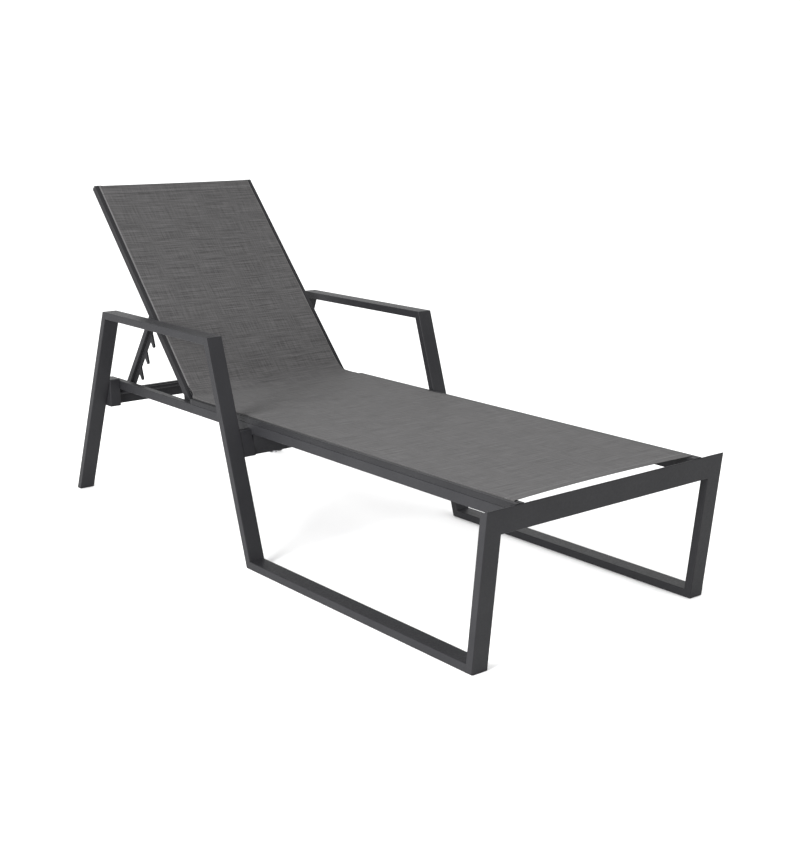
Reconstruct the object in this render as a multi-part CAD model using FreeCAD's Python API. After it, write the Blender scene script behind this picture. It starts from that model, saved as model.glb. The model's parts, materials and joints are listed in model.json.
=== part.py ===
# Reclining sun lounger: two flat-tube side frames, a sling bed and a propped backrest.
# Millimetres. +X points to the foot end, +Z up, Y across the width, and the user's
# right-hand side is -Y. The origin is on the floor under the middle of the frame.
import FreeCAD, Part
import math
import os

V = FreeCAD.Vector
Y_AXIS = V(0, 1, 0)

# ---- overall sizes -------------------------------------------------------------------
frame_length = 1820.0        # rear feet to the front face of the foot crossbar
frame_width = 735.0          # over the outer faces of the side frames
arm_height = 563.5           # floor to the top of the armrests
seat_height = 359.0          # floor to the top of the seat sling rails
back_length = 744.5          # backrest rail, from the hinge axis to its top end
back_angle = 47.8            # backrest above the horizontal when fully raised

# ---- side frame ribbon -----------------------------------------------------------------
tube_width = 45.0            # across the lounger
tube_thickness = 20.0
tube_wall = 1.8
tube_edge_radius = 2.0
glide_height = 1.0           # plastic glides under the skids and rear legs
rear_leg_setback = 225.0     # rear foot behind the rear end of the armrest
arm_length = 560.5
post_run = 177.5             # front post: how far its foot is in front of its top
foot_leg_lean = 39.9         # foot leg: how far its top is in front of its foot

# ---- crossbars -------------------------------------------------------------------------
portal_drop = 1.0            # top of the foot crossbar below the sling rails
portal_height = 57.0
portal_fall = 8.5            # its top face falls this much to the rear
mid_bar_height = 53.0
mid_bar_thickness = 16.0
rear_bar_height = 42.0
rear_bar_drop = 6.0          # top of the rear crossbar below the side rails
rear_bar_thickness = 16.0

# ---- bed rails -------------------------------------------------------------------------
side_rail_width = 20.0
side_rail_height = 25.0
rail_wall = 2.0
sling_rail_width = 25.0
seat_rail_height = 14.0
seat_rail_start = 64.0       # sling rails begin this far in front of the hinge axis
groove_inset = 12.0          # keder groove from the outer face of a sling rail
groove_radius = 3.0
groove_depth = 4.6           # groove centre below the rail's top face
groove_slit = 2.2
shoulder_radius = 3.0
keder_radius = 2.5
rail_pocket_wall = 1.6       # material round the hollows of the sling rails

# ---- backrest --------------------------------------------------------------------------
hinge_setback = 501.0        # hinge axis in front of the rear feet
back_rail_width = 20.0
back_rail_height = 20.0
back_rail_gap = 1.5          # backrest rail clear of the side rail
foot_gap = 0.8               # backrest rail clear of the hinge screw's head
back_rail_tail = 12.0        # backrest rail runs on past the hinge axis
back_bar_height = 14.0
back_bar_width = 25.0
low_bar_place = 62.0         # crossbar centre lines along the backrest
top_bar_end_gap = 10.0       # top crossbar to the end of the rails
bar_under_sling = 3.5
cap_length = 5.0
cap_radius = 7.0

# ---- hinge -----------------------------------------------------------------------------
lug_thickness = 6.0
lug_radius = 11.5
lug_foot_length = 34.0
screw_radius = 3.5
screw_running_gap = 0.05
bush_wall = 2.0
bush_flange_radius = 9.0
flange_gap = 0.3
head_radius = 5.5
head_height = 3.6
head_gap = 0.2
insert_wall = 1.2
insert_length = 9.0

# ---- prop and catch --------------------------------------------------------------------
prop_place = 311.0           # prop pivot along the backrest from the hinge axis
prop_below_face = 12.5       # prop pivot below the front face of the rails
prop_bar_width = 16.0
prop_bar_thickness = 10.0
prop_bar_wall = 1.5
prop_gap = 1.0               # prop bar clear of the backrest rail
foot_clearance = 2.0         # foot of the raised prop above the rear crossbar
rack_thickness = 5.0
rack_start = 70.0            # rack plate begins this far from the prop pivot
rack_depth = 20.0            # front edge of the rack from the prop's centre line
hook_pitch = 65.0
hook_lead = 67.0             # lowest hook above the catch rod, along the prop
hook_root = 22.0             # width of a hook where it leaves the rack
hook_tip_radius = 5.5
hook_tip_reach = 41.8        # hook tip centre from the prop's centre line
hook_tip_lead = 2.5          # hook tip centre past the top of its slot
slot_corner_radius = 5.0
catch_radius = 6.0
catch_ahead = 14.0           # catch rod axis in front of the rear crossbar
seat_clearance = 1.0         # raised rack in front of which the catch rod lies
tie_place = 32.0             # tie tube between the props, from the prop pivot
tie_radius = 7.0

# ---- brackets, feet and fasteners ------------------------------------------------------
bracket_width = 32.5         # between the rear leg and the bed
bracket_ahead = 28.0         # rear bracket in front of the rear crossbar
bracket_rise = 29.5          # rear bracket above the side rails' underside
bracket_wall = 3.0
mid_bracket_rise = 11.0      # mid bracket above the side rails' underside
plug_depth = 14.0
plug_clearance = 0.2
skid_glide_radius = 10.0
skid_glide_inset = 45.0
bolt_radius = 3.0
bolt_hole_radius = 3.3
bolt_head_radius = 5.5
bolt_head_height = 3.5
mid_bolt_inset = 68.0        # bolts under the mid crossbar, from the side of the bed
tab_thickness = 3.0
tab_reach = 14.0             # rail tab beyond its bolt
washer_radius = 8.0
washer_thickness = 1.5

# ---- sling -----------------------------------------------------------------------------
sling_thickness = 1.6
sling_clearance = 0.3
seat_hem_gap = 22.0          # foot hem to the foot crossbar
fold_gap = 2.5               # seat and back panels stop this short of the fold line
back_hem_gap = 9.0           # top hem below the end of the backrest rails

# ---- places worked out from the sizes --------------------------------------------------
rear_foot_x = -frame_length / 2
portal_front_x = frame_length / 2
portal_top = seat_height - portal_drop
outer_y = frame_width / 2
inner_y = outer_y - tube_width
bed_half_width = inner_y - bracket_width
hinge_x = rear_foot_x + hinge_setback
rail_top = seat_height - seat_rail_height
rail_bottom = rail_top - side_rail_height
hinge_z = rail_bottom + side_rail_height / 2
hinge = V(hinge_x, 0, hinge_z)
back_half_width = bed_half_width - side_rail_width - back_rail_gap
back_face = seat_height - hinge_z
back_under = back_face - back_rail_height
prop_y = back_half_width - back_rail_width - prop_gap
rack_y = prop_y - prop_bar_thickness


def tilt(x, z, centre, degrees):
    """Turn the point x, z about centre, lifting -X when degrees is positive."""
    a = math.radians(degrees)
    dx = x - centre.x
    dz = z - centre.z
    return V(centre.x + dx * math.cos(a) + dz * math.sin(a), 0,
             centre.z - dx * math.sin(a) + dz * math.cos(a))


def profile(points):
    corners = [V(x, y, z) for x, y, z in points]
    return Part.Face(Part.makePolygon(corners + corners[:1]))


def prism_xz(points, y_from, y_to):
    """Straight prism across the lounger from an outline of x, z pairs."""
    return profile([(x, y_from, z) for x, z in points]).extrude(V(0, y_to - y_from, 0))


def prism_yz(points, x_from, x_to):
    """Straight prism along the lounger from an outline of y, z pairs."""
    return profile([(x_from, y, z) for y, z in points]).extrude(V(x_to - x_from, 0, 0))


def box(x_from, x_to, y_from, y_to, z_from, z_to):
    return Part.makeBox(x_to - x_from, y_to - y_from, z_to - z_from, V(x_from, y_from, z_from))


def rod_y(x, z, radius, y_from, y_to):
    return Part.makeCylinder(radius, y_to - y_from, V(x, y_from, z), Y_AXIS)


def round_edges_along(shape, direction, radius, length):
    """Round the edges that run along a direction and are at least that long."""
    chosen = []
    for edge in shape.Edges:
        if edge.Length < length or not isinstance(edge.Curve, Part.Line):
            continue
        if abs(edge.tangentAt(edge.FirstParameter).dot(direction)) > 0.9999:
            chosen.append(edge)
    return shape.makeFillet(radius, chosen)


def mirrored(shape):
    return shape.mirror(V(0, 0, 0), Y_AXIS)


def raised(shape):
    """Backrest pieces are drawn lying flat, then turned up about the hinge."""
    turned = shape.copy()
    turned.rotate(hinge, Y_AXIS, back_angle)
    return turned


# ---- side frame ------------------------------------------------------------------------
def crossing(p, q, r, s):
    """Point where the line p-q meets the line r-s, all as x, z pairs."""
    d1 = (q[0] - p[0], q[1] - p[1])
    d2 = (s[0] - r[0], s[1] - r[1])
    k = ((r[0] - p[0]) * d2[1] - (r[1] - p[1]) * d2[0]) / (d1[0] * d2[1] - d1[1] * d2[0])
    return (p[0] + k * d1[0], p[1] + k * d1[1])


def portal_x(z, depth=0.0):
    """X of the leaning foot portal at height z, that far behind its front face."""
    slope = foot_leg_lean / portal_top
    return portal_front_x - (portal_top - z) * slope - depth * math.hypot(1, slope)


def post_x(z):
    return arm_front_x + post_run * (arm_height - z) / arm_height


def rear_leg_x(z):
    return rear_foot_x + rear_leg_setback * (z - glide_height) / (arm_height - glide_height)


arm_rear_x = rear_foot_x + rear_leg_setback
arm_front_x = arm_rear_x + arm_length


def ribbon_outline():
    """Upper side of the bent ribbon, from the rear foot round to the portal top."""
    skid_top = glide_height + tube_thickness
    return [(rear_leg_x(glide_height), glide_height),
            (arm_rear_x, arm_height),
            (arm_front_x, arm_height),
            (post_x(skid_top), skid_top),
            (portal_x(skid_top, tube_thickness), skid_top),
            (portal_x(portal_top, tube_thickness), portal_top)]


def offset_line(p, q, distance):
    length = math.hypot(q[0] - p[0], q[1] - p[1])
    nx = (q[1] - p[1]) / length * distance
    nz = -(q[0] - p[0]) / length * distance
    return (p[0] + nx, p[1] + nz), (q[0] + nx, q[1] + nz)


def offset_outline(points, distance):
    """The outline moved to the right of its own direction, mitred at each bend."""
    sides = [offset_line(points[i], points[i + 1], distance) for i in range(len(points) - 1)]
    floor = ((0, points[0][1]), (1, points[0][1]))
    top = ((0, points[-1][1]), (1, points[-1][1]))
    bends = [crossing(*sides[i], *sides[i + 1]) for i in range(len(sides) - 1)]
    return [crossing(*sides[0], *floor)] + bends + [crossing(*sides[-1], *top)]


def ribbon_parts(index):
    """Skin and hollow of one straight tube of the side frame, cut on the mitres."""
    outline = ribbon_outline()
    lines = [offset_outline(outline, d)
             for d in (0, tube_thickness, tube_wall, tube_thickness - tube_wall)]
    over, under, inner_over, inner_under = [line[index:index + 2] for line in lines]
    skin = prism_xz(over + under[::-1], -outer_y, -inner_y)
    run = V(over[1][0] - over[0][0], 0, over[1][1] - over[0][1]).normalize()
    skin = round_edges_along(skin, run, tube_edge_radius, 4 * tube_width)
    hollow = prism_xz(inner_over + inner_under[::-1], tube_wall - outer_y, -inner_y - tube_wall)
    return skin, hollow


def ribbon_member(index):
    skin, hollow = ribbon_parts(index)
    return skin.cut(hollow)


def on_slope(high, depth):
    """Point at that depth on a line that falls to the rear with the crossbar's top."""
    z = high - portal_fall * depth / tube_thickness
    return (portal_x(z, depth), z)


def above_slope():
    """Everything above the sloping top face of the foot crossbar."""
    reach = 4 * tube_thickness
    front = on_slope(portal_top, -reach)
    back = on_slope(portal_top, reach)
    return prism_xz([front, back, (back[0], 2 * portal_top), (front[0], 2 * portal_top)],
                    -frame_width, 0)


def above_mitre():
    """Everything above the mitre between the right foot leg and the foot crossbar."""
    low = portal_top - portal_height
    slope = portal_height / tube_width
    reach = 2 * tube_width
    return prism_yz([(-outer_y - reach, portal_top + reach * slope),
                     (-inner_y + reach, low - reach * slope),
                     (-inner_y + reach, portal_top + reach * slope)],
                    portal_x(0, 2 * tube_width), portal_front_x + tube_width)


def rear_leg():
    return ribbon_member(0)


def armrest():
    return ribbon_member(1)


def front_post():
    return ribbon_member(2)


def skid():
    return ribbon_member(3)


def portal_slab(y_half, low, high, front, back):
    """Leaning bar in the plane of the portal, its top falling away to the rear."""
    return prism_xz([(portal_x(low, front), low), on_slope(high, front), on_slope(high, back),
                     (portal_x(low, back), low)], -y_half, y_half)


def foot_leg():
    """Leg mitred under the foot crossbar, closed at the top by a lid in the bar's slope."""
    skin, hollow = ribbon_parts(4)
    lid = portal_slab(outer_y, portal_top - tube_wall, portal_top, 0, tube_thickness)
    lid = lid.common(box(0, frame_length, -outer_y, -inner_y, 0, seat_height))
    leg = skin.cut(hollow.cut(lid).cut(above_slope()))
    return leg.cut(above_slope()).cut(above_mitre())


def foot_crossbar():
    low = portal_top - portal_height
    bar = portal_slab(outer_y, low, portal_top, 0, tube_thickness)
    bar = round_edges_along(bar, Y_AXIS, tube_edge_radius, frame_width / 2)
    hollow = portal_slab(outer_y, low + tube_wall, portal_top - tube_wall,
                         tube_wall, tube_thickness - tube_wall)
    bar = bar.cut(hollow)
    keep = above_mitre().common(box(-frame_length, frame_length, -outer_y, 0, 0, 2 * portal_top))
    return bar.common(keep.fuse(mirrored(keep)).fuse(
        box(-frame_length, frame_length, -inner_y, inner_y, 0, 2 * portal_top)).removeSplitter())


def cross_tube(x_front, thickness, low, high, half_length):
    """Hollow bar straight across the lounger."""
    bar = box(x_front - thickness, x_front, -half_length, half_length, low, high)
    bar = round_edges_along(bar, Y_AXIS, tube_edge_radius, half_length)
    return bar.cut(box(x_front - thickness + tube_wall, x_front - tube_wall,
                       -half_length, half_length, low + tube_wall, high - tube_wall))


mid_bar_low = rail_bottom - mid_bar_height
mid_bar_front = post_x(rail_bottom - mid_bar_height / 2)
mid_bar_mid = mid_bar_front - mid_bar_thickness / 2
rear_bar_top = rail_bottom - rear_bar_drop
rear_bar_low = rear_bar_top - rear_bar_height
rear_bar_back = rear_leg_x(rear_bar_top - rear_bar_height / 2)
rear_bar_front = rear_bar_back + rear_bar_thickness
rear_bar_mid = rear_bar_front - rear_bar_thickness / 2
rail_bolt_y = bed_half_width - side_rail_width / 2
mid_bolt_y = bed_half_width - mid_bolt_inset


def bolt_hole(x, y, low, high):
    return Part.makeCylinder(bolt_hole_radius, high - low + 2 * tube_wall,
                             V(x, -y, low - tube_wall))


def mid_crossbar():
    bar = cross_tube(mid_bar_front, mid_bar_thickness, mid_bar_low, rail_bottom,
                     bed_half_width)
    hole = bolt_hole(mid_bar_mid, mid_bolt_y, mid_bar_low, rail_bottom)
    return bar.cut(hole).cut(mirrored(hole))


def rear_crossbar():
    bar = cross_tube(rear_bar_front, rear_bar_thickness, rear_bar_low, rear_bar_top,
                     bed_half_width)
    hole = bolt_hole(rear_bar_mid, rail_bolt_y, rear_bar_low, rear_bar_top)
    return bar.cut(hole).cut(mirrored(hole))


def mid_bracket():
    """Block beside the front post, as deep as the post, that carries crossbar and bed."""
    top = rail_bottom + mid_bracket_rise
    depth = tube_thickness * math.hypot(1, post_run / arm_height)
    block = prism_xz([(post_x(mid_bar_low), mid_bar_low), (post_x(top), top),
                      (post_x(top) - depth, top), (post_x(mid_bar_low) - depth, mid_bar_low)],
                     -inner_y, -bed_half_width)
    return round_edges_along(block, Y_AXIS, tube_edge_radius, bracket_width / 2)


def rail_tab():
    """Flat tab from the side rail onto the mid crossbar, held by a bolt from below."""
    inner = bed_half_width - side_rail_width
    tab = box(mid_bar_front - mid_bar_thickness, mid_bar_front, -inner,
              tab_reach - mid_bolt_y, rail_bottom, rail_bottom + tab_thickness)
    return tab.cut(bolt_hole(mid_bar_mid, mid_bolt_y, rail_bottom, rail_bottom + tab_thickness))


def rail_spacer():
    """Sleeve round the rear bolt, between the rear crossbar and the side rail."""
    ring = Part.makeCylinder(washer_radius, rear_bar_drop, V(rear_bar_mid, -rail_bolt_y,
                                                             rear_bar_top))
    return ring.cut(bolt_hole(rear_bar_mid, rail_bolt_y, rear_bar_top, rail_bottom))


# ---- rear bracket, feet ----------------------------------------------------------------
bracket_front = rear_bar_front + bracket_ahead
bracket_low = rear_bar_low
bracket_top = rail_bottom + bracket_rise
catch_x = rear_bar_front + catch_ahead
catch_z = rear_bar_top - catch_radius


def rear_bracket():
    """Upright box between the rear leg and the bed; it carries the catch rod's end."""
    body = box(rear_bar_back, bracket_front, -inner_y, -bed_half_width, bracket_low, bracket_top)
    body = round_edges_along(body, V(0, 0, 1), tube_edge_radius, bracket_rise)
    body = body.cut(box(rear_bar_back + bracket_wall, bracket_front - bracket_wall,
                        -inner_y + bracket_wall, -bed_half_width - bracket_wall,
                        bracket_low, bracket_top))
    return body.cut(rod_y(catch_x, catch_z, catch_radius, -inner_y + 2 * bracket_wall, 0))


def bracket_cap():
    """Plastic plug that closes the top of the rear bracket."""
    gap = bracket_wall + plug_clearance
    lid = box(rear_bar_back, bracket_front, -inner_y, -bed_half_width,
              bracket_top, bracket_top + bracket_wall)
    lid = round_edges_along(lid, V(0, 0, 1), tube_edge_radius, bracket_wall / 2)
    return lid.fuse(box(rear_bar_back + gap, bracket_front - gap, -inner_y + gap,
                        -bed_half_width - gap, bracket_top - plug_depth, bracket_top))


def catch_rod():
    reach = bed_half_width + bracket_wall + catch_radius
    return rod_y(catch_x, catch_z, catch_radius, -reach, reach)


def rear_foot_glide():
    """Plug in the cut end of the rear leg with a thin pad on the floor."""
    outline = ribbon_outline()
    gap = tube_wall + plug_clearance
    over = offset_outline(outline, gap)[:2]
    under = offset_outline(outline, tube_thickness - gap)[:2]
    share = plug_depth / (arm_height - glide_height)
    ends = [(p[0] + (q[0] - p[0]) * share, p[1] + (q[1] - p[1]) * share)
            for p, q in (over, under)]
    plug = prism_xz([over[0], ends[0], ends[1], under[0]], gap - outer_y, -inner_y - gap)
    return plug.fuse(box(over[0][0], under[0][0], gap - outer_y, -inner_y - gap,
                         0, glide_height))


def skid_glides():
    """Two low round pads under each skid."""
    pads = []
    skid_mid_y = (outer_y + inner_y) / 2
    for x in (post_x(0) + skid_glide_inset, portal_x(0) - skid_glide_inset):
        for y in (-skid_mid_y, skid_mid_y):
            pads.append(Part.makeCylinder(skid_glide_radius, glide_height, V(x, y, 0)))
    return Part.makeCompound(pads)


# ---- bed rails -------------------------------------------------------------------------
def beyond_portal():
    """Everything in front of the back face of the foot crossbar."""
    return prism_xz([(portal_x(0, tube_thickness), 0),
                     (portal_x(2 * portal_top, tube_thickness), 2 * portal_top),
                     (frame_length, 2 * portal_top), (frame_length, 0)],
                    -frame_width, frame_width)


def side_rail():
    """Square tube from the rear bracket to the foot crossbar."""
    inner = bed_half_width - side_rail_width
    rail = box(rear_bar_back, frame_length / 2, -bed_half_width, -inner, rail_bottom, rail_top)
    rail = round_edges_along(rail, V(1, 0, 0), shoulder_radius / 2, frame_length / 2)
    rail = rail.cut(box(rear_bar_back, frame_length / 2,
                        rail_wall - bed_half_width, -inner - rail_wall,
                        rail_bottom + rail_wall, rail_top - rail_wall))
    rail = rail.cut(Part.makeCylinder(bolt_hole_radius, rail_wall * 2,
                                      V(rear_bar_mid, -rail_bolt_y, rail_bottom - rail_wall / 2)))
    rail = rail.cut(rod_y(hinge_x, hinge_z, screw_radius + insert_wall,
                          -inner - rail_wall * 1.5, -inner + rail_wall))
    return rail.cut(beyond_portal())


def side_rail_plug():
    """Plastic plug in the rear end of the side rail."""
    inner = bed_half_width - side_rail_width
    gap = rail_wall + plug_clearance
    lid = box(rear_bar_back - rail_wall, rear_bar_back, -bed_half_width, -inner,
              rail_bottom, rail_top)
    lid = round_edges_along(lid, V(1, 0, 0), shoulder_radius / 2, rail_wall / 2)
    shank = box(rear_bar_back, rear_bar_back + plug_depth / 2, gap - bed_half_width,
                -inner - gap, rail_bottom + gap, rail_top - gap)
    bore = rear_bar_mid - bolt_head_radius
    return lid.fuse(shank.common(box(rear_bar_back, bore, -bed_half_width, 0, 0, seat_height)))


def sling_rail_section(outer, width, height, top, x_from, x_to, end_cut=None):
    """Extrusion with a round keder groove that opens in its top face."""
    rail = box(x_from, x_to, -outer, width - outer, top - height, top)
    rail = round_edges_along(rail, V(1, 0, 0), shoulder_radius / 2, (x_to - x_from) / 2)
    groove_y = groove_inset - outer
    groove_z = top - groove_depth
    length = x_to - x_from
    groove = Part.makeCylinder(groove_radius, length, V(x_from, groove_y, groove_z), V(1, 0, 0))
    slit = box(x_from, x_to, groove_y - groove_slit / 2, groove_y + groove_slit / 2,
               groove_z, top)
    rail = rail.cut(groove).cut(slit)
    wall = rail_pocket_wall
    left = groove_y + groove_radius + wall
    pocket = box(x_from, x_to, left, width - outer - wall, top - height + wall, top - wall)
    near = box(x_from, x_to, wall - outer, groove_y - groove_radius - wall,
               top - height + wall, top - wall)
    rail = rail.cut(pocket).cut(near)
    return rail.cut(end_cut) if end_cut else rail


def seat_sling_rail():
    """Sling rail that runs on over the sloping top of the foot crossbar."""
    rear = on_slope(portal_top, tube_thickness)
    front = on_slope(portal_top, tube_edge_radius)
    cut = prism_xz([(portal_x(0, tube_thickness), 0), rear, front,
                    (portal_x(2 * portal_top, tube_edge_radius), 2 * portal_top),
                    (frame_length, 2 * portal_top), (frame_length, 0)],
                   -frame_width, frame_width)
    return sling_rail_section(bed_half_width, sling_rail_width, seat_rail_height, seat_height,
                              hinge_x + seat_rail_start, portal_front_x, cut)


def keder(x_from, x_to, outer, top):
    return Part.makeCylinder(keder_radius, x_to - x_from,
                             V(x_from, groove_inset - outer, top - groove_depth), V(1, 0, 0))


def seat_keder_rod():
    return keder(hinge_x + seat_rail_start, portal_x(seat_height, tube_thickness) - cap_length,
                 bed_half_width, seat_height)


def seat_rail_cap():
    """Thin cap on the rear end of the seat sling rail."""
    start = hinge_x + seat_rail_start
    cap = box(start - cap_length / 2, start, -bed_half_width,
              sling_rail_width - bed_half_width, rail_top, seat_height)
    return round_edges_along(cap, V(1, 0, 0), shoulder_radius / 2, cap_length / 4)


# ---- backrest --------------------------------------------------------------------------
back_top_x = hinge_x - back_length
rail_end_x = back_top_x + cap_length


def back_rail():
    rail = sling_rail_section(back_half_width, back_rail_width, back_rail_height, seat_height,
                              rail_end_x, hinge_x + back_rail_tail)
    rail = rail.cut(rod_y(hinge_x, hinge_z, head_radius + foot_gap,
                          -back_half_width, back_rail_width - back_half_width))
    seat = rod_y(hinge_x - prop_place, seat_height - prop_below_face,
                 screw_radius + insert_wall,
                 -back_half_width + back_rail_width / 2, back_rail_width - back_half_width)
    return raised(rail.cut(seat))


def back_rail_cap():
    """Rounded plastic cap at the top of the backrest rail."""
    cap = box(back_top_x, rail_end_x, -back_half_width, back_rail_width - back_half_width,
              seat_height - back_rail_height, seat_height)
    corners = [e for e in cap.Edges
               if abs(e.CenterOfMass.x - back_top_x) < 0.01
               and abs(e.tangentAt(e.FirstParameter).y) > 0.99]
    return raised(cap.makeFillet(cap_length * 0.9, corners))


def back_crossbar(x_centre):
    """Flat tube between the backrest rails, below the sling."""
    half = back_half_width - back_rail_width
    top = seat_height - bar_under_sling
    bar = box(x_centre - back_bar_width / 2, x_centre + back_bar_width / 2, -half, half,
              top - back_bar_height, top)
    bar = round_edges_along(bar, Y_AXIS, tube_edge_radius * 2, half)
    return raised(bar.cut(box(x_centre - back_bar_width / 2 + tube_wall,
                              x_centre + back_bar_width / 2 - tube_wall, -half, half,
                              top - back_bar_height + tube_wall, top - tube_wall)))


def back_low_crossbar():
    return back_crossbar(hinge_x - low_bar_place)


def back_top_crossbar():
    return back_crossbar(back_top_x + top_bar_end_gap + back_bar_width / 2)


def back_keder_rod():
    return raised(keder(rail_end_x, hinge_x + back_rail_tail, back_half_width, seat_height))


def hinge_lug():
    """Ear under the foot of the backrest rail that turns on the hinge screw."""
    y_out = -back_half_width
    y_in = y_out + lug_thickness
    under = hinge_z + back_under
    ear = rod_y(hinge_x, hinge_z, lug_radius, y_out, y_in)
    foot = hinge_x + back_rail_tail
    web = prism_xz([(hinge_x + lug_radius, hinge_z), (foot, under),
                    (foot - lug_foot_length, under), (hinge_x - lug_radius, hinge_z)],
                   y_out, y_in)
    body = ear.fuse(web).removeSplitter()
    body = body.cut(box(hinge_x - back_length, hinge_x + back_length, y_out, y_in,
                        under, seat_height))
    return raised(body.cut(rod_y(hinge_x, hinge_z, screw_radius + bush_wall, y_out, y_in)))


def hinge_bush():
    """Nylon bush in the lug, with a flange that keeps it off the side rail."""
    y_out = -back_half_width
    flange = back_rail_gap - flange_gap
    bush = rod_y(hinge_x, hinge_z, screw_radius + bush_wall, y_out, y_out + lug_thickness)
    bush = bush.fuse(rod_y(hinge_x, hinge_z, bush_flange_radius, y_out - flange, y_out))
    return bush.cut(rod_y(hinge_x, hinge_z, screw_radius + screw_running_gap,
                          y_out - flange, y_out + lug_thickness))


def hinge_screw():
    """Shoulder screw from the inside, through the lug into the side rail's insert."""
    head = lug_thickness + head_gap - back_half_width
    end = -bed_half_width + side_rail_width - insert_length
    shank = rod_y(hinge_x, hinge_z, screw_radius, end, head)
    return shank.fuse(rod_y(hinge_x, hinge_z, head_radius, head, head + head_height))


def hinge_insert():
    """Threaded insert in the inner wall of the side rail."""
    face = side_rail_width - bed_half_width
    sleeve = rod_y(hinge_x, hinge_z, screw_radius + insert_wall, face - insert_length, face)
    return sleeve.cut(rod_y(hinge_x, hinge_z, screw_radius, face - insert_length, face))


# ---- prop ------------------------------------------------------------------------------
prop_pivot = tilt(hinge_x - prop_place, seat_height - prop_below_face, hinge, back_angle)
seat_front = rack_depth + catch_radius + seat_clearance
catch_reach = math.hypot(catch_x - prop_pivot.x, catch_z - prop_pivot.z)
seat_along = math.sqrt(catch_reach ** 2 - seat_front ** 2)
catch_bearing = math.degrees(math.atan2(prop_pivot.z - catch_z, prop_pivot.x - catch_x))
prop_angle = catch_bearing - math.degrees(math.atan2(seat_front, seat_along))
foot_level = rear_bar_top + foot_clearance
hook_room = seat_along - hook_lead - hook_root - rack_start
hook_count = int(hook_room / hook_pitch) + 1


def lowered(shape):
    """Prop pieces are drawn level behind the pivot, then hung down onto the catch rod."""
    turned = shape.copy()
    turned.rotate(prop_pivot, Y_AXIS, -prop_angle)
    return turned


def prop_point(along, front):
    return (prop_pivot.x - along, prop_pivot.z - front)


def above_foot(shape):
    """Trim a hung prop piece level, so its foot passes over the rear crossbar."""
    return shape.cut(box(rear_foot_x - frame_length, hinge_x, -outer_y, 0, 0, foot_level))


def prop_bar():
    half = prop_bar_width / 2
    y_out = -prop_y
    y_in = y_out + prop_bar_thickness
    end = prop_pivot.x - seat_along - prop_bar_width
    bar = box(end, prop_pivot.x, y_out, y_in, prop_pivot.z - half, prop_pivot.z + half)
    bar = bar.fuse(rod_y(prop_pivot.x, prop_pivot.z, half, y_out, y_in))
    hollow = box(end, prop_pivot.x - prop_bar_width, y_out + prop_bar_wall,
                 y_in - prop_bar_wall, prop_pivot.z - half + prop_bar_wall,
                 prop_pivot.z + half - prop_bar_wall)
    bar = bar.cut(hollow)
    return above_foot(lowered(bar.cut(rod_y(prop_pivot.x, prop_pivot.z,
                                            screw_radius + bush_wall, y_out, y_in))))


def rack_hook(slot_top, y_out, y_in):
    """Slanted finger with a rounded tip; the slot behind it opens downward when raised."""
    rise = hook_tip_reach - rack_depth
    lean = hook_root + hook_tip_lead
    run = math.hypot(lean, rise)
    dx = hook_tip_radius * rise / run
    dz = hook_tip_radius * lean / run
    tip_along = slot_top + hook_tip_lead
    finger = prism_xz([prop_point(slot_top - hook_root, rack_depth - 1),
                       prop_point(tip_along - dx, hook_tip_reach + dz),
                       prop_point(tip_along + dx, hook_tip_reach - dz),
                       prop_point(slot_top, rack_depth),
                       prop_point(slot_top, rack_depth - 1)], y_out, y_in)
    x, z = prop_point(tip_along, hook_tip_reach)
    return finger.fuse(rod_y(x, z, hook_tip_radius, y_out, y_in))


def at_slot_corner(edge, slot_tops):
    place = edge.CenterOfMass
    along = prop_pivot.x - place.x
    front = prop_pivot.z - place.z
    return any(math.hypot(along - top, front - rack_depth) < 0.01 for top in slot_tops)


def rack_plate():
    """Toothed plate on the inner side of the prop bar."""
    half = prop_bar_width / 2
    y_out = -rack_y
    y_in = rack_thickness - rack_y
    end = seat_along + prop_bar_width
    plate = prism_xz([prop_point(rack_start, -half), prop_point(rack_start, half),
                      prop_point(rack_start + rack_depth, rack_depth),
                      prop_point(end, rack_depth), prop_point(end, -half)], y_out, y_in)
    slot_tops = [seat_along - hook_lead - step * hook_pitch for step in range(hook_count)]
    for slot_top in slot_tops:
        plate = plate.fuse(rack_hook(slot_top, y_out, y_in))
    plate = plate.removeSplitter()
    corners = [edge for edge in plate.Edges if at_slot_corner(edge, slot_tops)]
    plate = plate.makeFillet(slot_corner_radius, corners)
    return above_foot(lowered(plate))


def prop_tie_tube():
    """Tube that ties the two props together."""
    x, z = prop_point(tie_place, 0)
    tube = rod_y(x, z, tie_radius, -rack_y, rack_y)
    return lowered(tube.cut(rod_y(x, z, tie_radius - prop_bar_wall, -rack_y, rack_y)))


def prop_bush():
    y_out = -prop_y
    y_in = y_out + prop_bar_thickness
    x = prop_pivot.x
    z = prop_pivot.z
    flange = prop_gap - flange_gap
    bush = rod_y(x, z, screw_radius + bush_wall, y_out, y_in)
    bush = bush.fuse(rod_y(x, z, bush_flange_radius - bush_wall, y_out - flange, y_out))
    return bush.cut(rod_y(x, z, screw_radius + screw_running_gap, y_out - flange, y_in))


def prop_screw():
    head = head_gap + prop_bar_thickness - prop_y
    end = back_rail_width / 2 - back_half_width
    shank = rod_y(prop_pivot.x, prop_pivot.z, screw_radius, end, head)
    return shank.fuse(rod_y(prop_pivot.x, prop_pivot.z, head_radius, head, head + head_height))


def prop_insert():
    face = back_rail_width - back_half_width
    end = face - back_rail_width / 2
    sleeve = rod_y(prop_pivot.x, prop_pivot.z, screw_radius + insert_wall, end, face)
    return sleeve.cut(rod_y(prop_pivot.x, prop_pivot.z, screw_radius, end, face))


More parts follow.
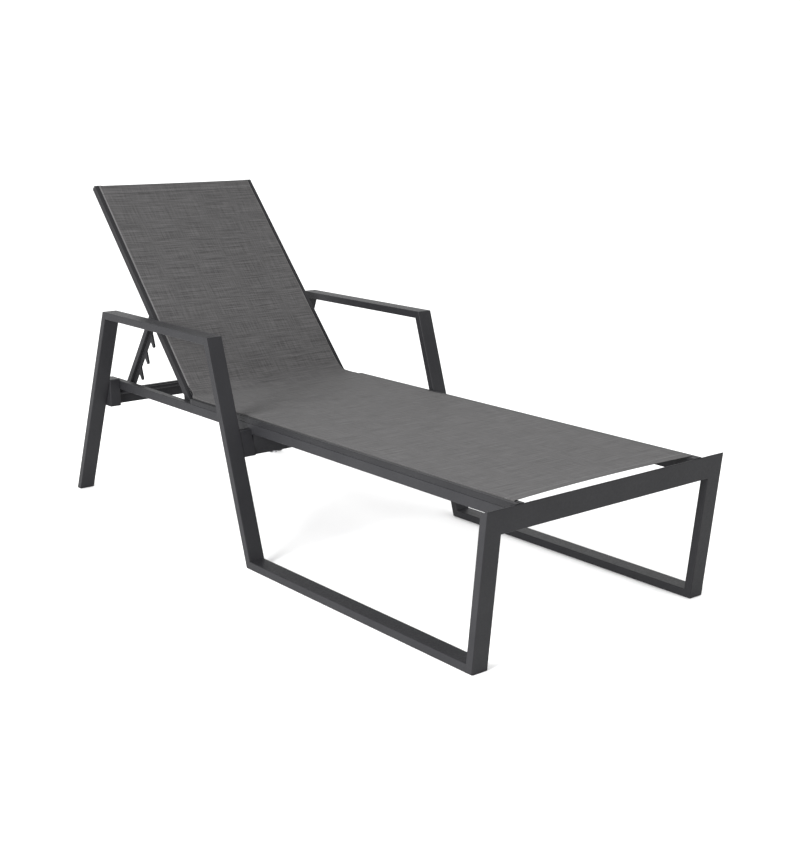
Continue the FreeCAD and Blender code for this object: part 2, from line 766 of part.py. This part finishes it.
# ---- fasteners under the crossbars -----------------------------------------------------
def under_bolt(x, y, low, high):
    """Bolt from below with its washer's thickness left under the bar."""
    seat = low - washer_thickness
    head = Part.makeCylinder(bolt_head_radius, bolt_head_height,
                             V(x, -y, seat - bolt_head_height))
    return head.fuse(Part.makeCylinder(bolt_radius, high - seat, V(x, -y, seat)))


def under_washer(x, y, low):
    ring = Part.makeCylinder(washer_radius, washer_thickness, V(x, -y, low - washer_thickness))
    return ring.cut(bolt_hole(x, y, low - washer_thickness, low))


def rail_bolts():
    mid = under_bolt(mid_bar_mid, mid_bolt_y, mid_bar_low, rail_bottom + 2 * tab_thickness)
    rear = under_bolt(rear_bar_mid, rail_bolt_y, rear_bar_low, rail_bottom + 2 * rail_wall)
    return Part.makeCompound([mid, rear, mirrored(mid), mirrored(rear)])


def rail_washers():
    mid = under_washer(mid_bar_mid, mid_bolt_y, mid_bar_low)
    rear = under_washer(rear_bar_mid, rail_bolt_y, rear_bar_low)
    return Part.makeCompound([mid, rear, mirrored(mid), mirrored(rear)])


# ---- sling panels ----------------------------------------------------------------------
sling_half_width = bed_half_width - groove_inset - groove_slit
back_sling_half_width = back_half_width - groove_inset - groove_slit
fold_x = hinge_x + (seat_height - hinge_z) * math.tan(math.radians(back_angle / 2))


def seat_sling():
    low = seat_height + sling_clearance
    return box(fold_x + fold_gap, portal_x(seat_height, tube_thickness) - seat_hem_gap / 2,
               -sling_half_width, sling_half_width, low, low + sling_thickness)


def back_sling():
    low = seat_height + sling_clearance
    foot = hinge_x - (fold_x - hinge_x) - fold_gap
    panel = box(back_top_x + back_hem_gap, foot, -back_sling_half_width,
                back_sling_half_width, low, low + sling_thickness)
    return raised(panel)


def both_sides(shape):
    return Part.makeCompound([shape, mirrored(shape)])


PAIRS = {
    "rear_leg": rear_leg, "armrest": armrest, "front_post": front_post, "skid": skid,
    "foot_leg": foot_leg, "side_rail": side_rail, "side_rail_plug": side_rail_plug,
    "seat_sling_rail": seat_sling_rail, "seat_rail_cap": seat_rail_cap,
    "seat_keder_rod": seat_keder_rod, "rear_bracket": rear_bracket,
    "bracket_cap": bracket_cap, "mid_bracket": mid_bracket, "rear_foot_glide": rear_foot_glide,
    "back_rail": back_rail, "back_rail_cap": back_rail_cap,
    "back_keder_rod": back_keder_rod, "hinge_lug": hinge_lug, "prop_bar": prop_bar,
    "rack_plate": rack_plate,
}
FASTENERS = {
    "rail_tabs": rail_tab, "rail_spacers": rail_spacer,
    "hinge_bushes": hinge_bush, "hinge_screws": hinge_screw, "hinge_inserts": hinge_insert,
    "prop_bushes": prop_bush, "prop_screws": prop_screw, "prop_inserts": prop_insert,
}
SINGLES = {
    "foot_crossbar": foot_crossbar, "mid_crossbar": mid_crossbar,
    "rear_crossbar": rear_crossbar, "catch_rod": catch_rod, "skid_glides": skid_glides,
    "rail_bolts": rail_bolts, "rail_washers": rail_washers,
    "back_low_crossbar": back_low_crossbar, "back_top_crossbar": back_top_crossbar,
    "prop_tie_tube": prop_tie_tube, "seat_sling": seat_sling, "back_sling": back_sling,
}

os.makedirs("parts", exist_ok=True)
for name, make in PAIRS.items():
    right = make()
    right.exportStep("parts/%s_right.step" % name)
    mirrored(right).exportStep("parts/%s_left.step" % name)
for name, make in FASTENERS.items():
    both_sides(make()).exportStep("parts/%s.step" % name)
for name, make in SINGLES.items():
    make().exportStep("parts/%s.step" % name)
print("hinge x %.1f z %.1f, prop pivot x %.1f z %.1f, prop angle %.2f"
      % (hinge_x, hinge_z, prop_pivot.x, prop_pivot.z, prop_angle))
print("catch rod x %.1f z %.1f, last seat %.1f along the prop" % (catch_x, catch_z, seat_along))
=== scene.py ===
import json
import math

import bmesh
import bpy
import numpy as np
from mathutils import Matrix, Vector


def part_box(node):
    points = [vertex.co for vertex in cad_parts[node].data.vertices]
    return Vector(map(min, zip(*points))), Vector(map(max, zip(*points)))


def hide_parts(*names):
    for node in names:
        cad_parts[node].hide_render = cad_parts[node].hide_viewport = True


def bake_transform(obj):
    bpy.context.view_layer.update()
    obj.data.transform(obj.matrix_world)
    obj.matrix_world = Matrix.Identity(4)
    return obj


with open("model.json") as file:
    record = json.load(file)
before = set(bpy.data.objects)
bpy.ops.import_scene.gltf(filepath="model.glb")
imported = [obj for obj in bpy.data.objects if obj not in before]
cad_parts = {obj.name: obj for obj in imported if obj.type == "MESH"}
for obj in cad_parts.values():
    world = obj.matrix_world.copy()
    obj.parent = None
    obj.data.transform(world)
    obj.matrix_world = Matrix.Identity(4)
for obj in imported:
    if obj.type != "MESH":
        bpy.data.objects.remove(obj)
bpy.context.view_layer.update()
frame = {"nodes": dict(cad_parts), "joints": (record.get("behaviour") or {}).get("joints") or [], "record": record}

# ---- sizes, in metres ------------------------------------------------------------------
THICK = 0.0009               # sling fabric
FACE_GAP = 0.0006            # sling above the rails' faces
YARN_PITCH = 0.0022
HEM = 0.030                  # width of the sewn hems at head and foot
HEM_STEP = 0.0005            # the folded hem stands this much higher
STITCH_LINES = (0.0222, 0.0262)
STITCH_WIDTH = 0.001
STITCH_PITCH = 0.006
# width of the dark line of painted shade where each folded hem steps down
CREASE_SHADE_WIDTH = 0.0016
WELT = 0.0036                # light edge along the two sides of the backrest
BACK_EDGE = 0.70             # the light edge ends this far from the head
HEAD_GAP = 0.012             # sling's head below the tips of the backrest rails
FOOT_GAP = 0.018             # sling's foot behind the front of the foot crossbar
FOLD_REACH = 0.05            # the fold is rounded this far to each side of its corner
TAPER_TOP = 0.02             # the sling starts to widen here, above the hinge
TAPER_RUN = 0.043
SAG = 0.0032
SAG_FADE = 0.12
FOOT_BOW = 0.013             # the foot hem bows inward between the two rails
FOOT_BOW_RUN = 0.10
EDGE_DIP = 0.0042            # the sling's edges dip into the keder grooves
EDGE_DIP_RUN = 0.0012
RIPPLE = 0.0005
RIPPLE_RUN = 0.03
FLOOR_HALF = 30.0
FLOOR_DROP = 0.0005


# ---- node helpers ----------------------------------------------------------------------
def new_material(name):
    mat = bpy.data.materials.new(name)
    mat.use_nodes = True
    tree = mat.node_tree
    return mat, tree, tree.nodes["Principled BSDF"]


def add(tree, kind, inputs=None, **props):
    node = tree.nodes.new(kind)
    for key, value in props.items():
        setattr(node, key, value)
    for key, value in (inputs or {}).items():
        if isinstance(value, bpy.types.NodeSocket):
            tree.links.new(value, node.inputs[key])
        else:
            node.inputs[key].default_value = value
    return node


def coords(tree, scale=(1, 1, 1)):
    source = add(tree, "ShaderNodeTexCoord")
    place = add(tree, "ShaderNodeMapping", {"Vector": source.outputs["Object"]})
    place.inputs["Scale"].default_value = scale
    return place.outputs["Vector"]


def ramp(tree, value, stops):
    node = add(tree, "ShaderNodeValToRGB", {"Fac": value})
    node.color_ramp.elements[0].position = stops[0][0]
    node.color_ramp.elements[0].color = (*stops[0][1], 1)
    node.color_ramp.elements[1].position = stops[-1][0]
    node.color_ramp.elements[1].color = (*stops[-1][1], 1)
    for place, colour in stops[1:-1]:
        node.color_ramp.elements.new(place).color = (*colour, 1)
    return node.outputs["Color"]


def noise(tree, vector, scale, detail=3.0, roughness=0.5):
    return add(tree, "ShaderNodeTexNoise", {"Vector": vector, "Scale": scale,
                                            "Detail": detail, "Roughness": roughness})


def math_node(tree, operation, a, b=0.0):
    return add(tree, "ShaderNodeMath", {0: a, 1: b}, operation=operation).outputs[0]


def mix_colour(tree, share, first, second, blend="MIX"):
    node = add(tree, "ShaderNodeMix", {0: share, 6: first, 7: second},
               data_type="RGBA", blend_type=blend)
    return node.outputs[2]


def band(tree, value, low, high):
    """One between low and high, nought elsewhere."""
    over = math_node(tree, "GREATER_THAN", value, low)
    return math_node(tree, "MULTIPLY", over, math_node(tree, "LESS_THAN", value, high))


def bump(tree, bsdf, height, strength, distance):
    node = add(tree, "ShaderNodeBump", {"Height": height, "Strength": strength,
                                        "Distance": distance})
    tree.links.new(node.outputs["Normal"], bsdf.inputs["Normal"])


# ---- materials -------------------------------------------------------------------------
def powder_coat(name, dark, light, rough=0.48):
    """Fine-texture powder coat: grain, a faint mottle and an uneven sheen."""
    mat, tree, bsdf = new_material(name)
    place = coords(tree)
    mottle = noise(tree, place, 9.0, 4.0).outputs["Fac"]
    speck = noise(tree, place, 1400.0, 2.0).outputs["Fac"]
    base = ramp(tree, mottle, [(0.3, dark), (0.7, light)])
    flecks = ramp(tree, speck, [(0.35, (0.88, 0.88, 0.88)), (0.68, (1.12, 1.12, 1.13))])
    grain = mix_colour(tree, 1.0, base, flecks, "MULTIPLY")
    tree.links.new(grain, bsdf.inputs["Base Color"])
    spread = noise(tree, place, 220.0, 3.0).outputs["Fac"]
    rough_out = add(tree, "ShaderNodeMapRange", {"Value": spread, "From Min": 0.3,
                                                 "From Max": 0.7, "To Min": rough - 0.06,
                                                 "To Max": rough + 0.08})
    tree.links.new(rough_out.outputs[0], bsdf.inputs["Roughness"])
    bsdf.inputs["Specular IOR Level"].default_value = 0.13
    bump(tree, bsdf, speck, 0.35, 0.00012)
    return mat


def moulded_plastic(name, colour, rough=0.55):
    mat, tree, bsdf = new_material(name)
    place = coords(tree)
    grain = noise(tree, place, 900.0, 2.0).outputs["Fac"]
    tone = ramp(tree, noise(tree, place, 30.0, 3.0).outputs["Fac"],
                [(0.3, tuple(0.8 * c for c in colour)), (0.7, tuple(1.2 * c for c in colour))])
    tree.links.new(tone, bsdf.inputs["Base Color"])
    wear = add(tree, "ShaderNodeMapRange", {"Value": grain, "To Min": rough - 0.1,
                                            "To Max": rough + 0.1})
    tree.links.new(wear.outputs[0], bsdf.inputs["Roughness"])
    bump(tree, bsdf, grain, 0.3, 0.00015)
    return mat


def brushed_steel(name, colour, rough=0.3):
    mat, tree, bsdf = new_material(name)
    place = coords(tree, (1, 40, 1))
    lines = noise(tree, place, 160.0, 4.0).outputs["Fac"]
    tone = ramp(tree, lines, [(0.3, tuple(0.75 * c for c in colour)), (0.7, colour)])
    tree.links.new(tone, bsdf.inputs["Base Color"])
    bsdf.inputs["Metallic"].default_value = 1.0
    wear = add(tree, "ShaderNodeMapRange", {"Value": lines, "To Min": rough - 0.08,
                                            "To Max": rough + 0.12})
    tree.links.new(wear.outputs[0], bsdf.inputs["Roughness"])
    bump(tree, bsdf, lines, 0.2, 0.0001)
    return mat


def uv_split(tree, name):
    """A UV map's vector and its two parts."""
    source = add(tree, "ShaderNodeUVMap", uv_map=name).outputs["UV"]
    split = add(tree, "ShaderNodeSeparateXYZ", {"Vector": source})
    return source, split.outputs["X"], split.outputs["Y"]


def melange(tree, uv, dark, light):
    """Streaks across the sling mixed with finer threads along it."""
    streak_at = add(tree, "ShaderNodeMapping", {"Vector": uv})
    streak_at.inputs["Scale"].default_value = (9.0, 420.0, 1.0)
    streaks = noise(tree, streak_at.outputs["Vector"], 1.0, 4.0, 0.65).outputs["Fac"]
    long_at = add(tree, "ShaderNodeMapping", {"Vector": uv})
    long_at.inputs["Scale"].default_value = (300.0, 14.0, 1.0)
    threads = noise(tree, long_at.outputs["Vector"], 1.0, 3.0, 0.6).outputs["Fac"]
    mix = math_node(tree, "ADD", math_node(tree, "MULTIPLY", streaks, 0.7),
                    math_node(tree, "MULTIPLY", threads, 0.3))
    middle = tuple((a + b) / 2 for a, b in zip(dark, light))
    return ramp(tree, mix, [(0.38, dark), (0.5, middle), (0.62, light)])


def stitching(tree, across, end):
    """Two rows of dashes along each hem."""
    turn = math_node(tree, "MULTIPLY", across, 2 * math.pi / STITCH_PITCH)
    dashes = math_node(tree, "GREATER_THAN", math_node(tree, "SINE", turn), -0.35)
    inner, outer = [band(tree, end, low, low + STITCH_WIDTH) for low in STITCH_LINES]
    return math_node(tree, "MULTIPLY", dashes, math_node(tree, "ADD", outer, inner))


def sling_weave(name, dark, light):
    """Coated mesh: yarns and melange from the sheet's UV metres, hems from its rim map."""
    mat, tree, bsdf = new_material(name)
    uv, across, along = uv_split(tree, "metres")
    turn = 2 * math.pi / YARN_PITCH
    warp = math_node(tree, "SINE", math_node(tree, "MULTIPLY", across, turn))
    weft = math_node(tree, "SINE", math_node(tree, "MULTIPLY", along, turn))
    lattice = math_node(tree, "MULTIPLY", warp, weft)
    yarns = math_node(tree, "ADD", math_node(tree, "ABSOLUTE", warp),
                      math_node(tree, "ABSOLUTE", weft))
    height = math_node(tree, "ADD", math_node(tree, "MULTIPLY", lattice, 0.5),
                       math_node(tree, "MULTIPLY", yarns, 0.35))
    holes = ramp(tree, yarns, [(0.12, (0.45, 0.45, 0.45)), (0.7, (1.06, 1.06, 1.06))])
    cloth = mix_colour(tree, 1.0, melange(tree, uv, dark, light), holes, "MULTIPLY")

    _, side, end = uv_split(tree, "rim")
    welt = math_node(tree, "MULTIPLY", math_node(tree, "LESS_THAN", side, WELT),
                     math_node(tree, "LESS_THAN", along, BACK_EDGE))
    stitch = stitching(tree, across, end)
    # painted shade: a dark line along the step at the inner edge of each hem
    painted_crease_shade = band(tree, end, HEM, HEM + CREASE_SHADE_WIDTH)
    marks = [(welt, 0.55, (0.1, 0.0985, 0.099, 1)),
             (stitch, 0.7, (0.13, 0.1285, 0.13, 1)),
             (painted_crease_shade, 0.6, (0.02, 0.02, 0.02, 1))]
    for where, share, colour in marks:
        cloth = mix_colour(tree, math_node(tree, "MULTIPLY", where, share), cloth, colour)
    tree.links.new(cloth, bsdf.inputs["Base Color"])
    bsdf.inputs["Roughness"].default_value = 0.72
    bsdf.inputs["Sheen Weight"].default_value = 0.03
    bsdf.inputs["Specular IOR Level"].default_value = 0.15
    sewn = math_node(tree, "ADD", height, math_node(tree, "MULTIPLY", stitch, 0.8))
    bump(tree, bsdf, sewn, 0.5, 0.0004)
    return mat


coat = powder_coat("frame_coat", (0.0118, 0.0118, 0.0132), (0.0148, 0.0148, 0.0162))
# darker copy of the frame coat: painted shade for the sling and backrest rails
painted_shade_rail_coat = powder_coat("painted_shade_rail_coat", (0.0086, 0.0086, 0.0096), (0.0112, 0.0112, 0.0122))
black = moulded_plastic("black_plastic", (0.012, 0.012, 0.013))
cord = moulded_plastic("keder_plastic", (0.33, 0.33, 0.335), 0.45)
steel = brushed_steel("fastener_steel", (0.3, 0.3, 0.31))
fabric = sling_weave("sling_fabric", (0.023, 0.0223, 0.0226), (0.062, 0.0602, 0.0607))

BY_SLOT = {"frame_coat": coat, "black_plastic": black, "keder_plastic": cord,
           "fastener_steel": steel, "sling_fabric": fabric}
# these rails get the darker coat, which paints shade onto their faces
SHADE_PAINTED_RAILS = ("seat_sling_rail", "back_rail_l", "back_rail_r")
slots = {part["node"]: part["material_slot"] for part in frame["record"]["subparts"]}
for name, node in frame["nodes"].items():
    mat = BY_SLOT[slots[name]]
    if name.startswith(SHADE_PAINTED_RAILS):
        mat = painted_shade_rail_coat
    node.data.materials.clear()
    node.data.materials.append(mat)


# ---- sling -----------------------------------------------------------------------------
hinge = Vector(frame["joints"][0]["pos_m"])
seat_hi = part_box("seat_sling_rail_right")[1]
cap_lo, cap_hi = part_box("back_rail_cap_right")
keder_lo, keder_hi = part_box("seat_keder_rod_right")
back_keder_lo, back_keder_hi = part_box("back_keder_rod_right")
foot_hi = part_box("foot_crossbar")[1]

TILT = math.radians(frame["joints"][0]["range_deg"][1])
UP_BACK = Vector((-math.cos(TILT), 0, math.sin(TILT)))
FACE = seat_hi.z - hinge.z
SEAT_HALF = -(keder_lo.y + keder_hi.y) / 2
BACK_HALF = -(back_keder_lo.y + back_keder_hi.y) / 2
BACK_LEN = max((Vector((x, 0, z)) - Vector((hinge.x, 0, hinge.z))).dot(UP_BACK)
               for x in (cap_lo.x, cap_hi.x) for z in (cap_lo.z, cap_hi.z))


def fold_path():
    """Side profile of the sling: down the backrest, round the fold and along the seat."""
    fold = FACE * math.tan(TILT / 2)
    corner = Vector((hinge.x + fold, 0, seat_hi.z))
    head = BACK_LEN - HEAD_GAP
    start = corner + UP_BACK * (head - fold)
    foot = Vector((foot_hi.x - FOOT_GAP, 0, corner.z))
    ends = [0, 0.0012, 0.003, 0.009, 0.018, 0.024, HEM - 0.001, HEM, HEM + 0.001, HEM + 0.003]
    plain = HEM + 0.01
    points = [start - UP_BACK * near for near in ends]
    straight = (start - corner).length - FOLD_REACH - plain
    for i in range(60):
        points.append(start - UP_BACK * (plain + straight * i / 60))
    a = corner + UP_BACK * FOLD_REACH
    c = corner + Vector((FOLD_REACH, 0, 0))
    for i in range(40):
        t = i / 40
        points.append(a * (1 - t) ** 2 + corner * 2 * t * (1 - t) + c * t ** 2)
    run = foot.x - c.x - plain
    for i in range(100):
        points.append(c + Vector((run * i / 99, 0, 0)))
    return points + [foot - Vector((near, 0, 0)) for near in ends[::-1]]


def half_width(point):
    """Half width of the sling where it leaves the grooves, narrower on the backrest."""
    along = (point - hinge).dot(UP_BACK)
    t = min(1.0, max(0.0, (TAPER_TOP - along) / TAPER_RUN))
    return BACK_HALF + (SEAT_HALF - BACK_HALF) * t * t * (3 - 2 * t)


def sheet_columns():
    """Places across the sling from -1 to 1, close together at its edges."""
    edge = [0.97, 0.985, 0.992, 0.996, 0.9985, 1.0]
    return [-c for c in edge[::-1]] + [-0.94 + 1.88 * k / 46 for k in range(47)] + edge


def path_normals(path):
    normals = []
    for i in range(len(path)):
        run = (path[min(len(path) - 1, i + 1)] - path[max(0, i - 1)]).normalized()
        normals.append(Vector((-run.z, 0, run.x)))
    return normals


def sling_height(s, total, c, half):
    """Height of the sling's upper face above the rails, s along it and c across it."""
    from_end = min(s, total - s)
    inside = max(0.0, 1 - (abs(c * half) / half) ** 2)
    edge = half - abs(c * half)
    sag = -SAG * inside ** 0.8 * (0.35 + 0.65 * min(1.0, from_end / SAG_FADE))
    dip = -EDGE_DIP * max(0.0, 1 - edge / EDGE_DIP_RUN)
    ripple = RIPPLE * math.sin(s * 41 + 3 * c) * math.exp(-edge / RIPPLE_RUN)
    folded = HEM_STEP if from_end < HEM - 0.0005 else 0.0
    return FACE_GAP + THICK + sag + dip + ripple + folded


def build_sling():
    """Upper grid of the sling, its two UV maps and its length."""
    path = fold_path()
    normals = path_normals(path)
    travel = [0.0]
    for before, after in zip(path, path[1:]):
        travel.append(travel[-1] + (after - before).length)
    total = travel[-1]
    columns = sheet_columns()
    upper, uvs, rims = [], [], []
    for base, normal, s in zip(path, normals, travel):
        half = half_width(base)
        bow = FOOT_BOW * (1 - min(1.0, (total - s) / FOOT_BOW_RUN)) ** 2
        for c in columns:
            y = c * half
            inside = max(0.0, 1 - (abs(y) / half) ** 2)
            spot = base + normal * sling_height(s, total, c, half)
            upper.append((spot.x - bow * inside, y, spot.z))
            uvs.append((y + 0.5, s))
            rims.append((half - abs(y), min(s, total - s)))
    top = np.array(upper).reshape(len(path), len(columns), 3)
    return top, {"metres": np.array(uvs), "rim": np.array(rims)}, total


def grid_normals(grid):
    along = np.gradient(grid, axis=0)
    across = np.gradient(grid, axis=1)
    n = np.cross(across, along)
    n /= np.linalg.norm(n, axis=2, keepdims=True)
    if n[:, :, 2].mean() < 0:
        n = -n
    return n


def sheet_mesh(name, top, maps, thick, mat):
    """Closed thin sheet from its upper grid."""
    rows, cols = top.shape[:2]
    low = top - grid_normals(top) * thick
    verts = np.concatenate([top.reshape(-1, 3), low.reshape(-1, 3)])
    n = rows * cols
    faces = []
    for r in range(rows - 1):
        for c in range(cols - 1):
            a, b = r * cols + c, r * cols + c + 1
            d, e = a + cols, b + cols
            faces.append((a, b, e, d))
            faces.append((n + a, n + d, n + e, n + b))
    rim = [(0, c) for c in range(cols - 1)] + [(r, cols - 1) for r in range(rows - 1)] + \
          [(rows - 1, c) for c in range(cols - 1, 0, -1)] + [(r, 0) for r in range(rows - 1, 0, -1)]
    ring = [r * cols + c for r, c in rim]
    for i, a in enumerate(ring):
        b = ring[(i + 1) % len(ring)]
        faces.append((b, a, n + a, n + b))
    mesh = bpy.data.meshes.new(name)
    mesh.from_pydata([tuple(v) for v in verts], [], faces)
    loop_verts = np.zeros(len(mesh.loops), int)
    mesh.loops.foreach_get("vertex_index", loop_verts)
    for map_name, spots in maps.items():
        mesh.uv_layers.new(name=map_name)
        both = np.concatenate([spots, spots])
        mesh.uv_layers[map_name].data.foreach_set("uv", both[loop_verts].reshape(-1))
    mesh.validate()
    obj = bpy.data.objects.new(name, mesh)
    bpy.context.collection.objects.link(obj)
    mesh.materials.append(mat)
    bm = bmesh.new()
    bm.from_mesh(mesh)
    bmesh.ops.recalc_face_normals(bm, faces=bm.faces)
    bm.to_mesh(mesh)
    bm.free()
    mesh.polygons.foreach_set("use_smooth", [True] * len(mesh.polygons))
    return obj


top, maps, sling_length = build_sling()
sling = sheet_mesh("sling", top, maps, THICK, fabric)
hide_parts("seat_sling", "back_sling")
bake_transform(sling)


# ---- floor, light, camera --------------------------------------------------------------
def placed(name, data, place, target):
    """Object at a place, looking at a target."""
    obj = bpy.data.objects.new(name, data)
    bpy.context.collection.objects.link(obj)
    obj.location = place
    aim = Vector(target) - Vector(place)
    obj.rotation_euler = aim.to_track_quat("-Z", "Y").to_euler()
    return obj


def floor():
    mesh = bpy.data.meshes.new("floor")
    corners = [(-1, -1), (1, -1), (1, 1), (-1, 1)]
    mesh.from_pydata([(FLOOR_HALF * x, FLOOR_HALF * y, -FLOOR_DROP) for x, y in corners],
                     [], [(0, 1, 2, 3)])
    obj = bpy.data.objects.new("floor", mesh)
    bpy.context.collection.objects.link(obj)
    mat, tree, bsdf = new_material("floor_pale")
    tone = ramp(tree, noise(tree, coords(tree), 3.0).outputs["Fac"],
                [(0.3, (0.86, 0.86, 0.86)), (0.7, (0.88, 0.88, 0.88))])
    tree.links.new(tone, bsdf.inputs["Base Color"])
    bsdf.inputs["Roughness"].default_value = 0.9
    bsdf.inputs["Specular IOR Level"].default_value = 0.1
    mesh.materials.append(mat)


def lights():
    """White room, one square key lamp from the near side and a broad fill from above."""
    world = bpy.data.worlds.new("studio")
    bpy.context.scene.world = world
    world.use_nodes = True
    room = world.node_tree.nodes["Background"]
    room.inputs["Color"].default_value = (1, 1, 1, 1)
    room.inputs["Strength"].default_value = 1.4

    key = bpy.data.lights.new("key", "AREA")
    key.shape = "SQUARE"
    key.size = 1.6
    key.energy = 240
    placed("key", key, (0.9, -3.2, 1.5), (0, 0, 0.35))

    fill = bpy.data.lights.new("fill", "SUN")
    fill.energy = 0.6
    fill.angle = math.radians(60)
    sky = bpy.data.objects.new("fill", fill)
    bpy.context.collection.objects.link(sky)
    sky.rotation_euler = (math.radians(12), math.radians(-8), 0)


def camera():
    cam = bpy.data.cameras.new("camera")
    cam.sensor_width = 36.0
    cam.lens = 56.58
    bpy.context.scene.camera = placed("camera", cam, (2.7329, -2.0721, 1.1302),
                                      (0.1896, 0.0, 0.3432))


floor()
lights()
camera()
bpy.context.scene.view_settings.view_transform = "Standard"
